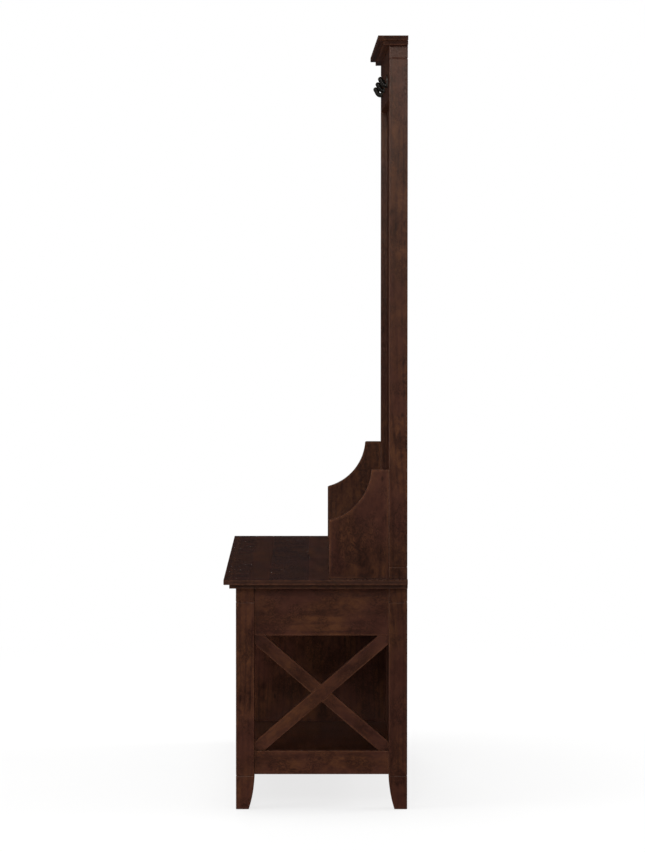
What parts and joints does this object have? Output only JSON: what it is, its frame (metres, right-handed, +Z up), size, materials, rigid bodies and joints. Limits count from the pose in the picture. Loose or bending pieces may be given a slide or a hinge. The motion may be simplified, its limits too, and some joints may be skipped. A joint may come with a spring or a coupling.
{
  "type": "hall tree with hooks",
  "caption": "Hall tree: open-cubby storage bench with X-braced ends and curved feet, scooped arm brackets, and a tall panelled back with coat hooks under a crown.",
  "frame": {"origin": "on the floor under the middle of the object's box, half way along its width and its depth", "axes": "+Z up; -Y is the front that a person faces, +Y the wall side; +X is to the right as seen from the front"},
  "size_m": [1.008, 0.398, 1.676],
  "materials": {
    "cherry": "dark reddish cherry colour, satin, with a fine open grain",
    "cherry_back": "dark cherry colour on thin board, a little duller",
    "beech": "bare beech dowel",
    "bronze": "dark antique bronze, satin, lighter on rubbed edges",
    "zinc": "bright zinc plated",
    "glide": "matt grey nylon"
  },
  "bodies": {
    "root": {"bench_back_panel": "cherry_back", "brace_pin_left": "zinc", "brace_pin_right": "zinc", "center_divider": "cherry", "center_foot": "cherry", "coat_hook_center": "bronze", "coat_hook_left": "bronze", "coat_hook_right": "bronze", "crown_board": "cherry", "crown_front_lip": "cherry", "crown_lower_board": "cherry", "foot_glide_center": "glide", "foot_glide_front_left": "glide", "foot_glide_front_right": "glide", "foot_glide_rear_left": "glide", "foot_glide_rear_right": "glide", "front_bottom_rail": "cherry", "front_leg_left": "cherry", "front_leg_right": "cherry", "front_top_rail": "cherry", "hook_rail": "cherry", "hook_screw_center_high": "bronze", "hook_screw_center_low": "bronze", "hook_screw_left_high": "bronze", "hook_screw_left_low": "bronze", "hook_screw_right_high": "bronze", "hook_screw_right_low": "bronze", "hutch_panel": "cherry", "lower_brace_left": "cherry", "lower_brace_right": "cherry", "lower_rail": "cherry", "post_foot_dowel_left": "beech", "post_foot_dowel_right": "beech", "post_head_dowel_left": "beech", "post_head_dowel_right": "beech", "post_left": "cherry", "post_right": "cherry", "rear_bottom_rail": "cherry", "rear_leg_left": "cherry", "rear_leg_right": "cherry", "rear_top_rail": "cherry", "seat_board": "cherry", "seat_front_lip": "cherry", "seat_lower_board": "cherry", "shelf": "cherry", "shelf_cleat_left": "cherry", "shelf_cleat_right": "cherry", "side_bottom_rail_left": "cherry", "side_bottom_rail_right": "cherry", "side_top_rail_left": "cherry", "side_top_rail_right": "cherry", "upper_brace_left": "cherry", "upper_brace_right": "cherry", "whole_brace_left": "cherry", "whole_brace_right": "cherry", "wing_left": "cherry", "wing_right": "cherry", "wing_screw_left": "zinc", "wing_screw_right": "zinc"}
  },
  "joints": []
}
